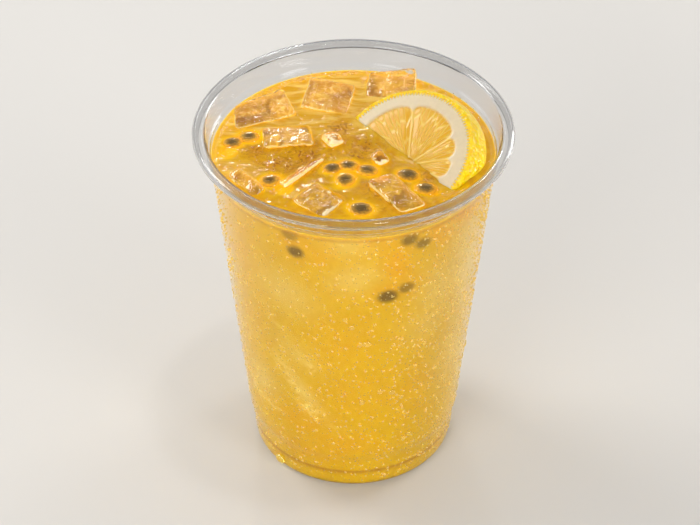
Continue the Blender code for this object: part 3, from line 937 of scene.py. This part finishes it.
def make_lemon(mat):
    """Half a slice: a whole one turned and cut in two, then its face worked."""
    lemon = lathe("lemon_half_slice", lemon_profile(), 300)
    edit(lemon, lambda: bpy.ops.mesh.bisect(plane_co=(0, 0, 0), plane_no=(0, 1, 0), use_fill=True,
                                            clear_inner=True, threshold=WELD))
    co = points_of(lemon)
    x, y, z = co.T / MM
    radius = np.hypot(x, y)
    core_x, core_y = x - LEMON_CORE[0], y - LEMON_CORE[1]
    reach = np.hypot(core_x, core_y)
    angle = np.arctan2(core_y, core_x)
    inside = inside_segments(radius, angle, reach)
    pulp = np.clip(inside / 0.35 + 0.5, 0, 1)
    dip = (-0.35 + 0.25 * np.clip(inside / 2.0, 0, 1)) * pulp
    co[:, 2] += np.where(z > -0.05, dip, 0) * MM
    paint(lemon, "pulp", pulp)
    paint(lemon, "pith_ring", (radius - 15.2) / 1.5)
    lay_out(lemon, "cells", angle * 11.0, reach / 8.0)
    lay_out(lemon, "turn_and_radius", np.arctan2(y, x), radius)
    move_points(lemon, co)
    turn = Matrix.Rotation(LEMON_TURN, 4, "Z")
    dip_turn = Matrix.Rotation(LEMON_DIP, 4, "Y")
    lean = Matrix.Rotation(LEMON_LEAN, 4, "X")
    lemon.data.transform(Matrix.Translation(LEMON_MIDDLE) @ turn @ dip_turn @ lean)
    return finish_piece(lemon, mat, "lemon", "lemon_slice")


def make_froth(mat):
    """Small bubbles: a row where the drink meets the wall at the back, and strays on its surface."""
    rng = random.Random(5)
    bubble = ball_template(2)
    row, strays = [], []
    while len(row) < FROTH_COUNT:
        angle = rng.uniform(-180, 180)
        back = 0.12 + 0.88 * math.exp(-((abs(angle) - 180) / 55) ** 2)
        if rng.random() > back:
            continue
        radius = rng.triangular(0.25, 0.8, 0.35) * MM
        r = FROTH_RING - radius - abs(rng.gauss(0, 0.9)) * MM
        a = math.radians(angle)
        place = np.array([r * math.sin(a), -r * math.cos(a), LEVEL + 0.35 * MM])
        row.append((np.eye(3) * radius, place))
    boxes = [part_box(name) for name in ICE_NODES + ["lemon_slice"]]
    while len(strays) < STRAY_COUNT:
        x, y = rng.uniform(-40, 40) * MM, rng.uniform(-40, 40) * MM
        covered = any(low.x < x < high.x and low.y < y < high.y for low, high in boxes)
        if math.hypot(x, y) < 41 * MM and not covered:
            radius = rng.triangular(0.15, 0.55, 0.2) * MM
            strays.append((np.eye(3) * radius, np.array([x, y, LEVEL + 0.1 * MM])))
    scatter("froth_bubbles", bubble, row, mat, "lemonade")
    scatter("stray_bubbles", bubble, strays, mat, "lemonade")
    bpy.data.objects.remove(bubble)


def make_stage():
    """A plain pale floor, in a room with soft light from all round."""
    bpy.ops.mesh.primitive_plane_add(size=6.0, location=(0, 0, -0.02 * MM))
    floor = bpy.context.object
    floor.name = "floor"
    floor.data.materials.append(floor_finish())
    world = bpy.data.worlds.new("soft_room")
    world.use_nodes = True
    world.node_tree.nodes["Background"].inputs["Color"].default_value = linear("#D2D4DA")
    world.node_tree.nodes["Background"].inputs["Strength"].default_value = 0.58
    bpy.context.scene.world = world


def softbox(name, place, width, height, power):
    """A white lamp with a rectangular face, turned to the middle of the cup."""
    bpy.ops.object.light_add(type="AREA", location=place)
    lamp = bpy.context.object
    lamp.name = name
    lamp.rotation_euler = (LAMPS_AIM - Vector(place)).to_track_quat("-Z", "Y").to_euler()
    lamp.data.shape = "RECTANGLE"
    lamp.data.size = width
    lamp.data.size_y = height
    lamp.data.energy = power


def make_lights():
    """Large lamps in front and at the sides, long strips for the lip, and small ones for sparkle."""
    softbox("front_left", (-0.42, -0.66, 0.36), 0.45, 0.35, 3.1)
    softbox("front_right", (0.55, -0.50, 0.30), 0.25, 0.45, 2.1)
    softbox("back_left", (-0.50, 0.35, 0.62), 0.30, 0.25, 2.4)
    softbox("side_right", (0.50, 0.42, 0.24), 0.22, 0.30, 1.6)
    softbox("side_left", (-0.62, 0.18, 0.30), 0.35, 0.30, 0.6)
    softbox("back_strip", (0.0, 0.80, 0.51), 1.0, 0.05, 0.5)
    softbox("back_strip_high", (0.0, 0.55, 0.77), 0.7, 0.04, 0.25)
    softbox("sparkle_top", (0.12, -0.05, 0.85), 0.05, 0.05, 0.7)
    softbox("sparkle_back", (-0.10, 0.70, 0.42), 0.10, 0.04, 0.5)


def make_camera():
    """The camera that was fitted to the photograph."""
    bpy.ops.object.camera_add(location=CAMERA_PLACE, rotation=(math.radians(90 - CAMERA_ELEVATION), 0, 0))
    camera = bpy.context.object
    camera.data.lens = CAMERA_LENS
    camera.data.sensor_width = 36.0
    camera.data.clip_start = 0.01
    bpy.context.scene.camera = camera


def main():
    """Build the stage, then the cup and all that is in it and on it."""
    make_camera()
    make_stage()
    make_lights()
    bpy.context.scene.view_settings.view_transform = "Standard"
    make_cup(clear_pet())
    make_drink(cloudy_lemonade())
    # Finishes for the ice's skins: frost with a painted highlight, and painted edge highlights
    frost_and_highlight = white_ice_skin("ice_frost_and_highlight_face", 0.5, "#FFF2CC")
    edge_highlight = white_ice_skin("ice_edge_highlight", 0.65, "#FFE8A0")
    make_ice(melting_ice(), frost_and_highlight, edge_highlight)
    make_seeds(fruit_gel(), seed_coat())
    make_lemon(cut_lemon())
    make_froth(bubble_film())
    make_condensation(water(), mist_water())


main()
